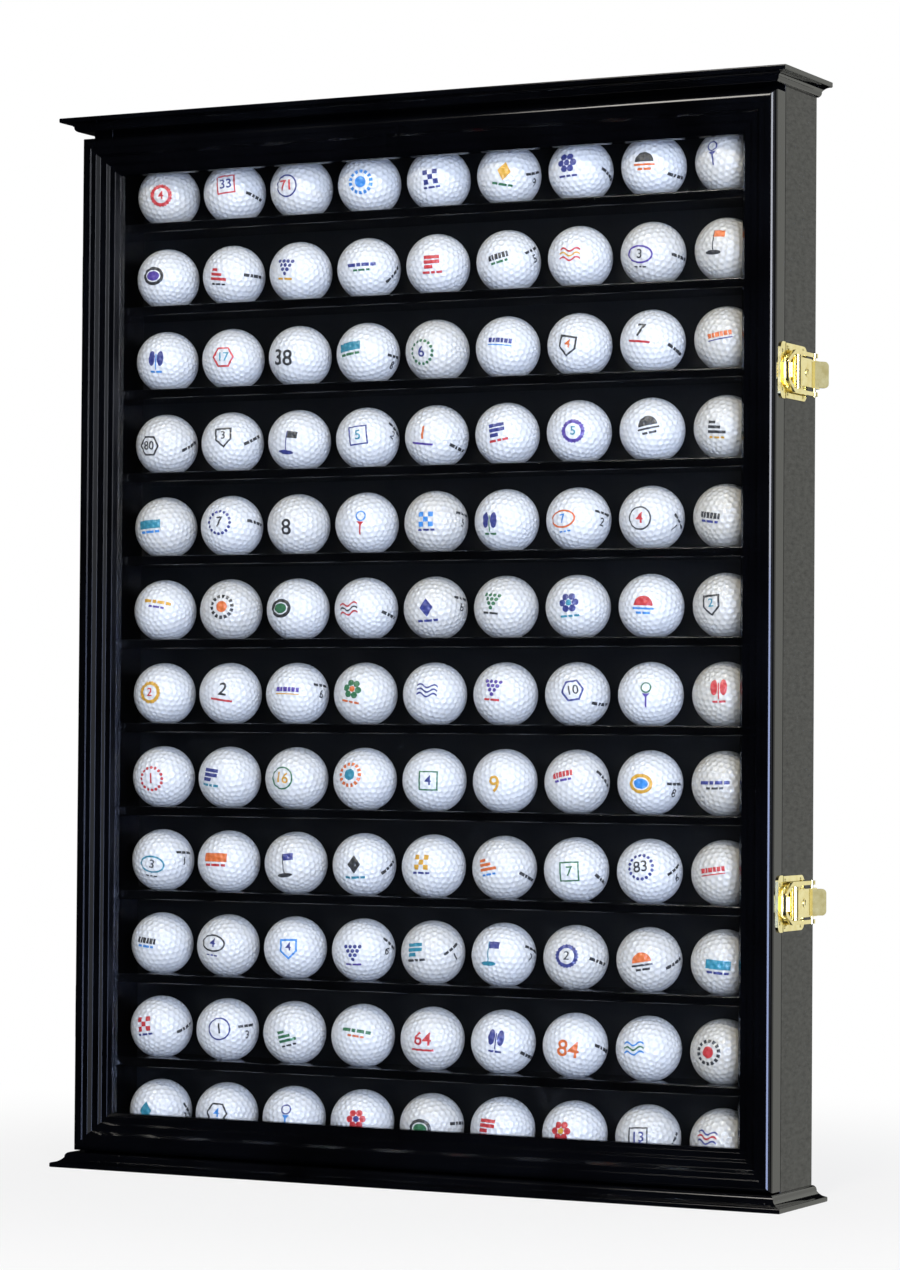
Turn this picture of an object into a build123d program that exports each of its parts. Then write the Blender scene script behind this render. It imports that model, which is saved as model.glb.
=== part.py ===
from build123d import *
import os

# Wall or shelf display case for golf balls, in millimetres.
# X runs to the right of someone facing the door, Y runs back and Z runs up.
# The origin is the middle of the base board's underside.

# Balls and the grid that holds them
ball_diameter = 42.67
ball_rows = 12
ball_columns = 9
side_room = 6.925
top_compartment = 54.9
seat_depth = 1.5
shelf_edge_round = 1.2
seat_clearance = 0.1

# Case body
case_width = 515.0
case_depth = 52.5
case_height = 699.0
side_thickness = 15.0
end_panel_thickness = 8.0
shelf_thickness = 6.4
dado_depth = 4.0
dado_clearance = 0.1
back_thickness = 3.2
back_recess = 5.8
rabbet_width = 3.5
rabbet_clearance = 0.1
arris_radius = 0.6

# Crown and base boards
base_thickness = 10.0
crown_thickness = 9.0
overhang = 11.0
lip_height = 3.2
lip_ledge = 0.9
lip_round = 0.8
cove_sag = 0.8
nose_radius = 3.0
nose_rise = 0.4
nose_ledge = 0.6

# Door frame, a stepped moulding mitred at its corners
door_thickness = 16.5
door_gap = 0.3
door_bottom_gap = 1.0
door_top_gap = 4.0
member_width = 26.0
edge_round = 4.5
bead_land = 3.0
bead_drop = 0.8
flat_land = 4.0
slope_run = 2.0
slope_drop = 2.8
terrace_run = 4.5
terrace_drop = 0.8
second_slope_run = 1.5
second_slope_drop = 1.9
second_terrace_run = 4.0
second_terrace_drop = 0.4
sight_slope_drop = 2.6
profile_round = 0.3
panel_thickness = 2.0
panel_clearance = 0.15
panel_inset = 3.0
groove_depth = 6.0
groove_end_gap = 0.5

# Butt hinges on the left edge
hinge_spacing = 501.0
hinge_drop = 2.0
hinge_height = 35.0
hinge_leaf_width = 9.8
hinge_leaf_thickness = 1.4
hinge_leaf_start = 1.6
barrel_radius = 3.2
barrel_standoff = 4.6
hinge_pin_radius = 1.5
hinge_pin_head = 0.8
knuckle_gap = 0.3
hinge_screw_spacing = 22.0
running_clearance = 0.05

# Lockable draw latches on the right edge
latch_spacing = 337.0
latch_rise = 2.0
plate_thickness = 1.0
strike_width = 7.5
strike_height = 36.0
strike_corner = 4.0
strike_edge_gap = 0.5
hook_thickness = 1.2
hook_round = 0.42
hook_height = 6.2
hook_length = 9.4
strike_screw_inset = 3.8
strike_screw_spacing = 24.0
latch_plate_width = 34.6
latch_plate_height = 35.0
latch_plate_gap = 0.8
latch_plate_corner = 5.0
latch_screw_front = 4.2
latch_screw_back = 30.0
latch_screw_spacing = 29.4
lever_pivot_back = 11.6
lever_pivot_height = 4.3
lever_knuckle_radius = 3.1
lever_width = 18.0
lever_flat_end = 28.0
lever_shoulder = 3.0
lever_shoulder_drop = 0.8
lever_tail_start = 43.4
lever_underside = 1.8
lever_wall = 1.2
lever_front_wall = 2.9
tab_start = 37.0
tab_run = 7.6
tab_rise = 6.4
tab_width = 17.0
tab_corner = 3.0
tab_thickness = 1.3
bail_pivot_back = 40.9
bail_pivot_height = 3.9
bail_thickness = 2.0
bail_strip = 2.6
bail_eye_radius = 2.3
bail_taper_end = 7.5
bail_side_gap = 2.1
bail_front_clearance = 0.3
bail_front_length = 14.8
lever_pin_radius = 1.0
ear_thickness = 1.2
ear_gap = 0.4
pin_overhang = 0.3
lock_back = 20.7
plug_radius = 3.0
plug_proud = 0.3
boss_wall = 1.1
cam_length = 4.8
cam_width = 2.2
cam_thickness = 1.1
cam_height = 1.6
keeper_reach = 3.5
keeper_wall = 1.0
keeper_clearance = 0.3
keeper_length = 4.6
cam_tip_clearance = 0.4
keyhole_radius = 0.9
keyhole_slot_width = 0.8
keyhole_slot_length = 2.6
keyhole_depth = 1.6

# Screws
screw_radius = 1.1
screw_length = 9.0
screw_head_radius = 2.0
screw_head_height = 0.7
screw_slot_width = 0.5
screw_slot_depth = 0.35
screw_clearance = 0.1
screw_dome_across = 0.72
screw_dome_up = 0.62

# Keyhole hangers in the back edges of the sides
hanger_width = 10.0
hanger_length = 44.0
hanger_thickness = 1.5
hanger_sink = 0.9
hanger_below_top = 50.0
hanger_entry_radius = 3.6
hanger_slot_radius = 1.9
hanger_slot_rise = 9.0
hanger_pocket_depth = 4.0
hanger_pocket_margin = 1.0
hanger_screw_spacing = 36.0

# Levels and planes that the pieces share
ball_radius = ball_diameter / 2
half_width = case_width / 2
inner_half = half_width - side_thickness
inner_depth = case_depth - back_recess - back_thickness
inner_height = case_height - 2 * end_panel_thickness
row_pitch = (inner_height - top_compartment) / (ball_rows - 1)
column_pitch = 2 * (inner_half - side_room) / ball_columns
back_y = (overhang + door_thickness + door_gap + case_depth) / 2
front_y = back_y - case_depth
back_face_y = front_y + inner_depth
door_back_y = front_y - door_gap
joint_y = front_y - door_gap / 2
board_front_y = door_back_y - door_thickness - overhang
board_depth = back_y - board_front_y
body_top = base_thickness + case_height
floor_top = base_thickness + end_panel_thickness
ball_y = front_y + inner_depth / 2
door_bottom = base_thickness + door_bottom_gap
door_top = body_top - door_top_gap
door_height = door_top - door_bottom
door_middle = (door_top + door_bottom) / 2
first_column = -(ball_columns - 1) / 2 * column_pitch
column_places = [first_column + column_pitch * i for i in range(ball_columns)]
shelf_tops = [floor_top + row_pitch * i for i in range(1, ball_rows)]
seat_tops = [floor_top] + shelf_tops
seat_radius = ball_radius + seat_clearance
ball_lift = ball_radius - seat_depth

os.makedirs("parts", exist_ok=True)


def save(piece, name):
    piece.part.label = name
    export_step(piece.part, "parts/" + name + ".step")


def box_sketch(low_x, low_y, high_x, high_y):
    """Rectangle between two corners of the current sketch."""
    with Locations(((low_x + high_x) / 2, (low_y + high_y) / 2)):
        Rectangle(high_x - low_x, high_y - low_y)


# ---------------------------------------------------------------- screws
with BuildPart() as wood_screw:
    with BuildSketch(Plane.XZ) as screw_half:
        with BuildLine():
            Polyline(
                (0, -screw_length),
                (screw_radius, -screw_length + 2 * screw_radius),
                (screw_radius, 0),
                (screw_head_radius, 0),
            )
            ThreePointArc(
                (screw_head_radius, 0),
                (screw_head_radius * screw_dome_across, screw_head_height * screw_dome_up),
                (0, screw_head_height),
            )
            Line((0, screw_head_height), (0, -screw_length))
        make_face()
    revolve(axis=Axis.Z)
    with BuildSketch(Plane.XY.offset(screw_head_height - screw_slot_depth)):
        Rectangle(3 * screw_head_radius, screw_slot_width)
    extrude(amount=2 * screw_head_height, mode=Mode.SUBTRACT)

pilot_radius = screw_radius + screw_clearance
pilot_length = screw_length + screw_clearance


def left_spot(back, height, standoff=0.0):
    """Place on the left edge, its Z axis pointing out of the case."""
    spot = Plane(origin=(-half_width - standoff, back, height), x_dir=(0, -1, 0), z_dir=(-1, 0, 0))
    return spot.location


def right_spot(back, height, standoff=0.0):
    """Place on the right edge, its Z axis pointing out of the case."""
    spot = Plane(origin=(half_width + standoff, back, height), x_dir=(0, 1, 0), z_dir=(1, 0, 0))
    return spot.location


def back_spot(across, height, depth=0.0):
    """Place on the back plane, its Z axis pointing to the wall."""
    spot = Plane(origin=(across, back_y - depth, height), x_dir=(-1, 0, 0), z_dir=(0, 1, 0))
    return spot.location


hinge_middle = door_middle - hinge_drop
latch_middle = door_middle + latch_rise
hinge_places = {"upper": hinge_middle + hinge_spacing / 2, "lower": hinge_middle - hinge_spacing / 2}
latch_places = {"upper": latch_middle + latch_spacing / 2, "lower": latch_middle - latch_spacing / 2}
hinge_screw_back = hinge_leaf_start + hinge_leaf_width / 2
hinge_screw_heights = [
    place + sign * hinge_screw_spacing / 2 for place in hinge_places.values() for sign in (-1, 1)
]
strike_front = -strike_edge_gap - strike_width
strike_screw_back = strike_front + strike_width - strike_screw_inset
strike_screw_heights = [
    place + sign * strike_screw_spacing / 2 for place in latch_places.values() for sign in (-1, 1)
]
latch_screw_heights = [
    place + sign * latch_screw_spacing / 2 for place in latch_places.values() for sign in (-1, 1)
]
hanger_x = (inner_half + rabbet_width + half_width) / 2
hanger_z = body_top - hanger_below_top
hanger_screw_heights = [hanger_z + sign * hanger_screw_spacing / 2 for sign in (-1, 1)]


# ---------------------------------------------------------------- crown and base boards
def board_edge_lines(run, thickness):
    """Closed outline of a routed board: the lip is on the X axis side, the body runs to x = run."""
    nose_start = overhang - nose_ledge - nose_radius
    cove_top = thickness - nose_radius - nose_rise
    Line((run, 0), (0, 0))
    Line((0, 0), (0, lip_height))
    Line((0, lip_height), (lip_ledge, lip_height))
    SagittaArc((lip_ledge, lip_height), (nose_start, cove_top), -cove_sag)
    Line((nose_start, cove_top), (nose_start, thickness - nose_radius))
    RadiusArc((nose_start, thickness - nose_radius), (nose_start + nose_radius, thickness), nose_radius)
    Line((nose_start + nose_radius, thickness), (run, thickness))
    Line((run, thickness), (run, 0))


def routed_board(lip_z, up, thickness):
    """Board with the routed edge on its front and both ends; up is +1 when the lip is underneath."""
    front_plane = Plane(origin=(half_width + overhang, board_front_y, lip_z), x_dir=(0, 1, 0),
                        z_dir=(up, 0, 0))
    side_plane = Plane(origin=(-half_width - overhang, back_y, lip_z), x_dir=(1, 0, 0),
                       z_dir=(0, -up, 0))
    board_half = half_width + overhang
    with BuildPart() as board:
        with BuildSketch(front_plane) as front_face:
            with BuildLine():
                board_edge_lines(board_depth, thickness)
            make_face()
            fillet(front_face.vertices().sort_by_distance((0, 0))[:2], lip_round)
        extrude(amount=-up * 2 * board_half)
        with BuildSketch(side_plane) as side_face:
            with BuildLine():
                board_edge_lines(board_half, thickness)
            make_face()
            fillet(side_face.vertices().sort_by_distance((0, 0))[:2], lip_round)
            mirror(about=Plane.YZ.offset(board_half))
        extrude(amount=up * 2 * board_depth, both=True, mode=Mode.INTERSECT)
    return board


base_board = routed_board(0.0, 1, base_thickness)
save(base_board, "base_board")
crown_board = routed_board(body_top + crown_thickness, -1, crown_thickness)
save(crown_board, "crown_board")


# ---------------------------------------------------------------- case sides
def case_side(sign):
    """Side board: dados for the shelves, a rabbet for the back and a let-in hanger plate."""
    hanger_middle = (sign * hanger_x, hanger_z)
    with BuildPart() as side:
        with BuildSketch(Plane.XY.offset(base_thickness)):
            box_sketch(min(sign * inner_half, sign * half_width), front_y,
                       max(sign * inner_half, sign * half_width), back_y)
        extrude(amount=case_height)
        fillet(side.edges().filter_by(Axis.Z).group_by(Axis.Y)[0], arris_radius)
        with BuildSketch(Plane.XY.offset(base_thickness)):
            with Locations((sign * (inner_half + rabbet_width / 2), (back_face_y + back_y) / 2)):
                Rectangle(rabbet_width, back_y - back_face_y)
        extrude(amount=case_height, mode=Mode.SUBTRACT)
        for shelf_top in shelf_tops:
            with BuildSketch(Plane.XY.offset(shelf_top)):
                with Locations((sign * (inner_half + dado_depth / 2), (front_y + back_y) / 2)):
                    Rectangle(dado_depth, case_depth)
            extrude(amount=-shelf_thickness, mode=Mode.SUBTRACT)
        with BuildSketch(Plane.XZ.offset(-back_y)):
            with Locations(hanger_middle):
                Rectangle(hanger_width, hanger_length)
        extrude(amount=hanger_sink + hanger_thickness, mode=Mode.SUBTRACT)
        with BuildSketch(Plane.XZ.offset(-back_y + hanger_sink + hanger_thickness)):
            with Locations(hanger_middle):
                Rectangle(2 * hanger_entry_radius + hanger_pocket_margin,
                          2 * hanger_entry_radius + hanger_slot_rise + 2 * hanger_pocket_margin)
        extrude(amount=hanger_pocket_depth, mode=Mode.SUBTRACT)
        with Locations(*[back_spot(sign * hanger_x, z, hanger_sink) for z in hanger_screw_heights]):
            Cylinder(pilot_radius, 2 * pilot_length, mode=Mode.SUBTRACT)
        if sign < 0:
            case_screws = [left_spot(joint_y + hinge_screw_back, z) for z in hinge_screw_heights]
        else:
            case_screws = [
                right_spot(joint_y + back, z)
                for z in latch_screw_heights
                for back in (latch_screw_front, latch_screw_back)
            ]
        with Locations(*case_screws):
            Cylinder(pilot_radius, 2 * pilot_length, mode=Mode.SUBTRACT)
    return side


save(case_side(-1), "left_side")
save(case_side(1), "right_side")


# ---------------------------------------------------------------- panels and shelves
def cut_seats(seat_top):
    """Nine dished seats in the board whose top is at seat_top."""
    with Locations(*[(x, ball_y, seat_top + ball_lift) for x in column_places]):
        Sphere(seat_radius, mode=Mode.SUBTRACT)


with BuildPart() as bottom_panel:
    with BuildSketch(Plane.XY.offset(base_thickness)):
        box_sketch(-inner_half, front_y, inner_half, back_y)
    extrude(amount=end_panel_thickness)
    fillet(bottom_panel.edges().filter_by(Axis.X).group_by(Axis.Y)[0], shelf_edge_round)
    with BuildSketch(Plane.XY.offset(floor_top)):
        box_sketch(-inner_half, back_face_y, inner_half, back_y)
    extrude(amount=-rabbet_width, mode=Mode.SUBTRACT)
    cut_seats(floor_top)
save(bottom_panel, "bottom_panel")

with BuildPart() as top_panel:
    with BuildSketch(Plane.XY.offset(body_top)):
        box_sketch(-inner_half, front_y, inner_half, back_y)
    extrude(amount=-end_panel_thickness)
    fillet(top_panel.edges().filter_by(Axis.X).group_by(Axis.Y)[0], arris_radius)
    with BuildSketch(Plane.XY.offset(body_top - end_panel_thickness)):
        box_sketch(-inner_half, back_face_y, inner_half, back_y)
    extrude(amount=rabbet_width, mode=Mode.SUBTRACT)
save(top_panel, "top_panel")

with BuildPart() as back_panel:
    back_reach = inner_half + rabbet_width - rabbet_clearance
    back_low = floor_top - rabbet_width + rabbet_clearance
    back_high = body_top - end_panel_thickness + rabbet_width - rabbet_clearance
    with BuildSketch(Plane.XZ.offset(-back_face_y)):
        box_sketch(-back_reach, back_low, back_reach, back_high)
    extrude(amount=-back_thickness)
save(back_panel, "back_panel")

for number, shelf_top in enumerate(reversed(shelf_tops), start=1):
    with BuildPart() as shelf:
        shelf_reach = inner_half + dado_depth - dado_clearance
        with BuildSketch(Plane.XY.offset(shelf_top)):
            box_sketch(-shelf_reach, front_y, shelf_reach, back_face_y)
        extrude(amount=-shelf_thickness)
        fillet(shelf.edges().filter_by(Axis.X).group_by(Axis.Y)[0], shelf_edge_round)
        cut_seats(shelf_top)
    save(shelf, "shelf_%02d" % number)

# ---------------------------------------------------------------- balls
for number, seat_top in enumerate(reversed(seat_tops), start=1):
    with BuildPart() as ball_row:
        with Locations(*[(x, ball_y, seat_top + ball_lift) for x in column_places]):
            Sphere(ball_radius)
    save(ball_row, "ball_row_%02d" % number)


# ---------------------------------------------------------------- door
def frame_profile_points():
    """Stepped face of the door frame from its round outer edge in to the glass."""
    across = edge_round
    rise = door_thickness
    points = [(across, rise)]
    for step_across, step_down in (
        (bead_land, 0.0),
        (0.0, bead_drop),
        (flat_land, 0.0),
        (slope_run, slope_drop),
        (terrace_run, terrace_drop),
        (second_slope_run, second_slope_drop),
        (second_terrace_run, second_terrace_drop),
    ):
        across += step_across
        rise -= step_down
        points.append((across, rise))
    points.append((member_width, rise - sight_slope_drop))
    return points


def door_member(outline_plane, length, mitre_corners):
    """One length of the frame moulding, cut to its mitres."""
    profile = frame_profile_points()
    groove_front = panel_inset + panel_thickness + 2 * panel_clearance
    groove_foot = member_width - groove_depth
    with BuildPart() as member:
        with BuildSketch(outline_plane):
            with BuildLine():
                Line((0, 0), (0, door_thickness - edge_round))
                RadiusArc((0, door_thickness - edge_round), (edge_round, door_thickness), edge_round)
                Polyline(*profile)
                Polyline(
                    profile[-1],
                    (member_width, groove_front),
                    (groove_foot, groove_front),
                    (groove_foot, panel_inset),
                    (member_width, panel_inset),
                    (member_width, 0),
                    (0, 0),
                )
            make_face()
        extrude(amount=length)
        with BuildSketch(Plane.XZ):
            with BuildLine():
                Polyline(*mitre_corners, close=True)
            make_face()
        extrude(amount=2 * board_depth, both=True, mode=Mode.INTERSECT)
        soft_edges = [
            edge
            for edge in member.edges().filter_by(GeomType.LINE)
            if edge.length > length / 2
            and edge.center().Y < door_back_y - groove_front - 2 * panel_clearance
        ]
        fillet(soft_edges, profile_round)
    return member


sight_half = half_width - member_width
sight_bottom = door_bottom + member_width
sight_top = door_top - member_width
bottom_left = (-half_width, door_bottom)
bottom_right = (half_width, door_bottom)
top_left = (-half_width, door_top)
top_right = (half_width, door_top)
sight_bottom_left = (-sight_half, sight_bottom)
sight_bottom_right = (sight_half, sight_bottom)
sight_top_left = (-sight_half, sight_top)
sight_top_right = (sight_half, sight_top)

left_stile_plane = Plane(origin=(-half_width, door_back_y, door_top), x_dir=(1, 0, 0), z_dir=(0, 0, -1))
right_stile_plane = Plane(origin=(half_width, door_back_y, door_bottom), x_dir=(-1, 0, 0), z_dir=(0, 0, 1))
top_rail_plane = Plane(origin=(half_width, door_back_y, door_top), x_dir=(0, 0, -1), z_dir=(-1, 0, 0))
bottom_rail_plane = Plane(origin=(-half_width, door_back_y, door_bottom), x_dir=(0, 0, 1), z_dir=(1, 0, 0))

left_stile = door_member(left_stile_plane, door_height,
                         (bottom_left, sight_bottom_left, sight_top_left, top_left))
right_stile = door_member(right_stile_plane, door_height,
                          (bottom_right, top_right, sight_top_right, sight_bottom_right))
top_rail = door_member(top_rail_plane, case_width,
                       (top_left, sight_top_left, sight_top_right, top_right))
bottom_rail = door_member(bottom_rail_plane, case_width,
                          (bottom_left, bottom_right, sight_bottom_right, sight_bottom_left))

with left_stile:
    with Locations(*[left_spot(joint_y - hinge_screw_back, z) for z in hinge_screw_heights]):
        Cylinder(pilot_radius, 2 * pilot_length, mode=Mode.SUBTRACT)
with right_stile:
    with Locations(*[right_spot(joint_y + strike_screw_back, z) for z in strike_screw_heights]):
        Cylinder(pilot_radius, 2 * pilot_length, mode=Mode.SUBTRACT)

save(left_stile, "door_left_stile")
save(right_stile, "door_right_stile")
save(top_rail, "door_top_rail")
save(bottom_rail, "door_bottom_rail")

with BuildPart() as door_panel:
    panel_reach = groove_depth - groove_end_gap
    panel_back_y = door_back_y - panel_inset - panel_clearance
    with BuildSketch(Plane.XZ.offset(-panel_back_y)):
        box_sketch(-sight_half - panel_reach, sight_bottom - panel_reach,
                   sight_half + panel_reach, sight_top + panel_reach)
    extrude(amount=panel_thickness)
save(door_panel, "door_panel")

# ---------------------------------------------------------------- hinges
axis_x = -half_width - barrel_standoff
knuckle_height = (hinge_height - 2 * knuckle_gap) / 3
pin_bore = hinge_pin_radius + running_clearance


def hinge_leaf(place, side, knuckle_bottoms):
    """Leaf on the left edge; side is +1 on the case and -1 on the door."""
    bottom = place - hinge_height / 2
    leaf_near = joint_y + side * hinge_leaf_start
    leaf_far = leaf_near + side * hinge_leaf_width
    with BuildPart() as leaf:
        with BuildSketch(Plane.XY.offset(bottom)):
            box_sketch(-half_width - hinge_leaf_thickness, min(leaf_near, leaf_far),
                       -half_width, max(leaf_near, leaf_far))
        extrude(amount=hinge_height)
        for knuckle_bottom in knuckle_bottoms:
            with BuildSketch(Plane.XY.offset(bottom + knuckle_bottom)):
                with Locations((axis_x, joint_y)):
                    Circle(barrel_radius)
                web_far = joint_y + side * barrel_radius
                box_sketch(axis_x, min(joint_y, web_far), -half_width, max(joint_y, web_far))
            extrude(amount=knuckle_height)
        with Locations((axis_x, joint_y, place)):
            Cylinder(pin_bore, 2 * hinge_height, mode=Mode.SUBTRACT)
        screw_spots = [
            left_spot(joint_y + side * hinge_screw_back, place + sign * hinge_screw_spacing / 2)
            for sign in (-1, 1)
        ]
        with Locations(*screw_spots):
            Cylinder(pilot_radius, 4 * hinge_leaf_thickness, mode=Mode.SUBTRACT)
    return leaf


outer_knuckles = (0.0, 2 * (knuckle_height + knuckle_gap))
middle_knuckle = (knuckle_height + knuckle_gap,)
for level, place in hinge_places.items():
    save(hinge_leaf(place, 1, outer_knuckles), level + "_hinge_case_leaf")
    save(hinge_leaf(place, -1, middle_knuckle), level + "_hinge_door_leaf")

with BuildPart() as hinge_pins:
    for place in hinge_places.values():
        with Locations((axis_x, joint_y, place)):
            Cylinder(hinge_pin_radius, hinge_height + 2 * hinge_pin_head)
save(hinge_pins, "hinge_pins")

with BuildPart() as hinge_case_screws:
    with Locations(*[left_spot(joint_y + hinge_screw_back, z, hinge_leaf_thickness)
                     for z in hinge_screw_heights]):
        add(wood_screw.part)
save(hinge_case_screws, "hinge_case_screws")

with BuildPart() as hinge_door_screws:
    with Locations(*[left_spot(joint_y - hinge_screw_back, z, hinge_leaf_thickness)
                     for z in hinge_screw_heights]):
        add(wood_screw.part)
save(hinge_door_screws, "hinge_door_screws")

# ---------------------------------------------------------------- latches
lever_half = lever_width / 2
ear_inner = lever_half + ear_gap
ear_outer = ear_inner + ear_thickness
bail_inner = lever_half + bail_side_gap
bail_outer = bail_inner + bail_strip
bail_front = strike_front + strike_width - hook_thickness - bail_front_clearance - bail_strip
lever_top = lever_pivot_height + lever_knuckle_radius
shoulder_top = lever_top - lever_shoulder_drop
pin_bore_radius = lever_pin_radius + running_clearance
plug_bore_radius = plug_radius + running_clearance
keeper_low = cam_height + cam_thickness + keeper_clearance
keeper_top = keeper_low + keeper_wall
keeper_side = cam_length + cam_tip_clearance


def edge_plane(place):
    """Sketch plane on the right edge: x runs back from the door joint, y runs up, z points out."""
    return Plane(origin=(half_width, joint_y, place), x_dir=(0, 1, 0), z_dir=(1, 0, 0))


def across_plane(place, shift):
    """Sketch plane across a latch: x runs back from the joint, y points out, shifted upwards."""
    return Plane(origin=(half_width, joint_y, place + shift), x_dir=(0, 1, 0), z_dir=(0, 0, -1))


for level, place in latch_places.items():
    face = edge_plane(place)

    with BuildPart() as strike:
        with BuildSketch(face) as strike_plate:
            box_sketch(strike_front, -strike_height / 2, strike_front + strike_width, strike_height / 2)
            fillet(strike_plate.vertices().group_by(Axis.X)[0], strike_corner)
            with Locations(*[(strike_screw_back, sign * strike_screw_spacing / 2) for sign in (-1, 1)]):
                Circle(pilot_radius, mode=Mode.SUBTRACT)
        extrude(amount=plate_thickness)
        with BuildSketch(face):
            box_sketch(strike_front + strike_width - hook_thickness, -hook_length / 2,
                       strike_front + strike_width, hook_length / 2)
        extrude(amount=hook_height)
        fillet(strike.edges().filter_by(Axis.Z).group_by(Axis.X)[-1], hook_round)
    save(strike, level + "_latch_strike")

    with BuildPart() as latch_base:
        with BuildSketch(face) as base_plate:
            box_sketch(latch_plate_gap, -latch_plate_height / 2,
                       latch_plate_gap + latch_plate_width, latch_plate_height / 2)
            fillet(base_plate.vertices().group_by(Axis.X)[-1], latch_plate_corner)
            with Locations(*[(back, sign * latch_screw_spacing / 2)
                             for back in (latch_screw_front, latch_screw_back) for sign in (-1, 1)]):
                Circle(pilot_radius, mode=Mode.SUBTRACT)
        extrude(amount=plate_thickness)
        for ear_foot in (ear_outer, -ear_inner):
            with BuildSketch(across_plane(place, ear_foot)):
                box_sketch(lever_pivot_back - lever_knuckle_radius, 0,
                           lever_pivot_back + lever_knuckle_radius, lever_pivot_height)
                with Locations((lever_pivot_back, lever_pivot_height)):
                    Circle(lever_knuckle_radius)
                    Circle(pin_bore_radius, mode=Mode.SUBTRACT)
            extrude(amount=ear_thickness)
        with BuildSketch(face.offset(plate_thickness)):
            with Locations((lock_back, keeper_side + keeper_wall / 2)):
                Rectangle(keeper_length, keeper_wall)
        extrude(amount=keeper_top - plate_thickness)
        with BuildSketch(face.offset(keeper_low)):
            with Locations((lock_back, (keeper_reach + keeper_side + keeper_wall) / 2)):
                Rectangle(keeper_length, keeper_side + keeper_wall - keeper_reach)
        extrude(amount=keeper_wall)
    save(latch_base, level + "_latch_base")

    with BuildPart() as thumb_tab:
        with BuildSketch(across_plane(place, tab_width / 2)):
            with BuildLine():
                Polyline(
                    (tab_start - tab_thickness, shoulder_top - tab_thickness),
                    (tab_start - tab_thickness, shoulder_top),
                    (tab_start + tab_run - tab_thickness, shoulder_top + tab_rise),
                    (tab_start + tab_run, shoulder_top + tab_rise - tab_thickness),
                    (tab_start, shoulder_top - tab_thickness),
                    close=True,
                )
            make_face()
        extrude(amount=tab_width)
        fillet(thumb_tab.edges().group_by(Axis.X)[-2], tab_corner)

    with BuildPart() as lever:
        with BuildSketch(across_plane(place, lever_half)):
            with BuildLine():
                Polyline(
                    (lever_pivot_back, lever_pivot_height),
                    (lever_pivot_back, lever_top),
                    (lever_flat_end, lever_top),
                    (lever_flat_end + lever_shoulder, shoulder_top),
                    (lever_tail_start, shoulder_top),
                    (lever_tail_start, lever_underside),
                    (lever_pivot_back, lever_underside),
                    (lever_pivot_back, lever_pivot_height),
                )
            make_face()
            with Locations((lever_pivot_back, lever_pivot_height)):
                Circle(lever_knuckle_radius)
        extrude(amount=lever_width)
        add(thumb_tab.part)
        with BuildSketch(face.offset(lever_underside)):
            box_sketch(lever_pivot_back + lever_front_wall, lever_wall - lever_half,
                       bail_pivot_back - lever_knuckle_radius, lever_half - lever_wall)
        extrude(amount=lever_top - lever_wall - lever_underside - lever_shoulder_drop, mode=Mode.SUBTRACT)
        with BuildSketch(face.offset(keeper_top + keeper_clearance)):
            with Locations((lock_back, 0)):
                Circle(plug_bore_radius + boss_wall)
        extrude(amount=lever_top - lever_wall - keeper_top - keeper_clearance)
        with BuildSketch(face):
            with Locations((lock_back, 0)):
                Circle(plug_bore_radius)
        extrude(amount=2 * lever_top, mode=Mode.SUBTRACT)
        with BuildSketch(across_plane(place, tab_width)):
            with Locations((lever_pivot_back, lever_pivot_height), (bail_pivot_back, bail_pivot_height)):
                Circle(pin_bore_radius)
        extrude(amount=2 * tab_width, mode=Mode.SUBTRACT)
    save(lever, level + "_latch_lever")

    with BuildPart() as bail:
        bail_low = bail_pivot_height - bail_thickness / 2
        with BuildSketch(face.offset(bail_low)):
            with BuildLine() as bail_middle:
                FilletPolyline(
                    (bail_pivot_back, bail_outer - bail_strip / 2),
                    (bail_taper_end, bail_outer - bail_strip / 2),
                    (bail_front + bail_strip / 2, bail_front_length / 2 - bail_strip / 2),
                    (bail_front + bail_strip / 2, -bail_front_length / 2 + bail_strip / 2),
                    (bail_taper_end, -bail_outer + bail_strip / 2),
                    (bail_pivot_back, -bail_outer + bail_strip / 2),
                    radius=bail_strip,
                )
            trace(line_width=bail_strip)
        extrude(amount=bail_thickness)
        for eye_foot in (bail_outer, -bail_inner):
            with BuildSketch(across_plane(place, eye_foot)):
                with Locations((bail_pivot_back, bail_pivot_height)):
                    Circle(bail_eye_radius)
            extrude(amount=bail_strip)
        with BuildSketch(across_plane(place, 2 * bail_outer)):
            with Locations((bail_pivot_back, bail_pivot_height)):
                Circle(pin_bore_radius)
        extrude(amount=4 * bail_outer, mode=Mode.SUBTRACT)
    save(bail, level + "_latch_bail")

    with BuildPart() as bail_pin:
        pin_reach = bail_outer + pin_overhang
        with BuildSketch(across_plane(place, pin_reach)):
            with Locations((bail_pivot_back, bail_pivot_height)):
                Circle(lever_pin_radius)
        extrude(amount=2 * pin_reach)
    save(bail_pin, level + "_bail_pin")

    with BuildPart() as lock_plug:
        with BuildSketch(face.offset(cam_height + cam_thickness)):
            with Locations((lock_back, 0)):
                Circle(plug_radius)
        extrude(amount=lever_top + plug_proud - cam_height - cam_thickness)
        with BuildSketch(face.offset(cam_height)):
            with Locations((lock_back, 0)):
                Circle(cam_width / 2)
            box_sketch(lock_back, -cam_width / 2, lock_back + cam_length, cam_width / 2)
        extrude(amount=cam_thickness)
        with BuildSketch(face.offset(lever_top + plug_proud)):
            with Locations((lock_back, keyhole_slot_length / 2)):
                Circle(keyhole_radius)
            with Locations((lock_back, 0)):
                Rectangle(keyhole_slot_width, keyhole_slot_length)
        extrude(amount=-keyhole_depth, mode=Mode.SUBTRACT)
    save(lock_plug, level + "_lock_plug")

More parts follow.
